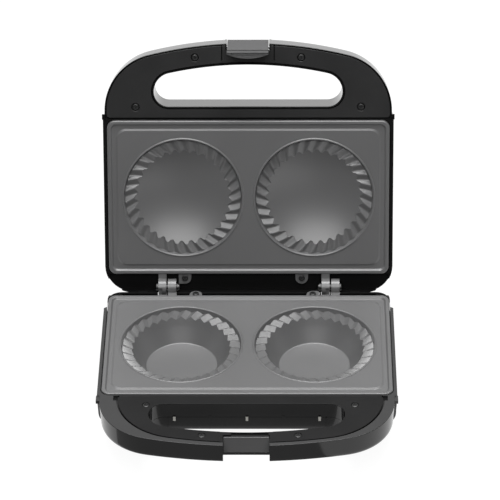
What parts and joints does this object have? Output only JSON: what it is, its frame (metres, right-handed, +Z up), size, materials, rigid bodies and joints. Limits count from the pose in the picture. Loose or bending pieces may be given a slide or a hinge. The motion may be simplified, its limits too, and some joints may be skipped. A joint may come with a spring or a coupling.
{
  "type": "pie maker",
  "caption": "Countertop pie maker standing open: a hinged lid and base with fluted cast cooking plates, looped handles and a swinging front latch.",
  "frame": {"origin": "middle of the footprint of the part standing open, at the height of the surface under its feet", "axes": "+Z up, -Y towards the handles, where the user stands, +X to the user's right"},
  "size_m": [0.26, 0.3274, 0.2632],
  "materials": {
    "bright_sheet": "bright rolled",
    "ceramic": "matt ceramic",
    "coated_plate": "dark non-stick coating",
    "dark_steel": "blackened",
    "element_steel": "heat tinted",
    "gloss_black": "gloss",
    "green_lens": "clear green",
    "latch_grey": "satin gloss",
    "nylon": "matt",
    "red_lens": "clear red",
    "rubber": "matt",
    "satin_black": "satin",
    "steel": "bright"
  },
  "bodies": {
    "base": {"base_housing": "gloss_black", "base_handle_cover": "satin_black", "base_plate": "coated_plate", "base_element": "element_steel", "base_reflector": "bright_sheet", "base_reflector_screw_front": "dark_steel", "base_reflector_screw_back": "dark_steel", "thermostat": "ceramic", "thermal_fuse": "ceramic", "terminal_block": "nylon", "cord_gland": "rubber", "latch_catch": "latch_grey", "foot_front_left": "rubber", "foot_front_right": "rubber", "foot_back_left": "rubber", "foot_back_right": "rubber", "left_hinge_pin": "steel", "right_hinge_pin": "steel", "left_pin_clip": "steel", "right_pin_clip": "steel", "base_handle_screw_1": "dark_steel", "base_handle_screw_2": "dark_steel", "base_handle_screw_3": "dark_steel", "base_handle_screw_4": "dark_steel", "base_plate_screw_1": "dark_steel", "base_plate_screw_2": "dark_steel"},
    "lid": {"lid_shell": "gloss_black", "lid_handle_cover": "satin_black", "lid_plate": "coated_plate", "lid_element": "element_steel", "lid_reflector": "bright_sheet", "lid_reflector_screw_front": "dark_steel", "lid_reflector_screw_back": "dark_steel", "power_lens": "red_lens", "ready_lens": "green_lens", "lamp_holder": "nylon", "latch_pin": "steel", "lid_handle_screw_1": "dark_steel", "lid_handle_screw_2": "dark_steel", "lid_handle_screw_3": "dark_steel", "lid_handle_screw_4": "dark_steel", "lid_plate_screw_1": "dark_steel", "lid_plate_screw_2": "dark_steel"},
    "latch": {"latch": "latch_grey"}
  },
  "joints": [
    {"name": "lid_hinge", "type": "hinge", "parent": "base", "child": "lid", "pos_m": [0, 0.05588, 0.05], "axis": [1, 0, 0], "range_deg": [0, 111.5]},
    {"name": "latch_swing", "type": "hinge", "parent": "lid", "child": "latch", "pos_m": [0, 0.14592, 0.24583], "axis": [-1, 0, 0], "range_deg": [-8, 35]}
  ]
}
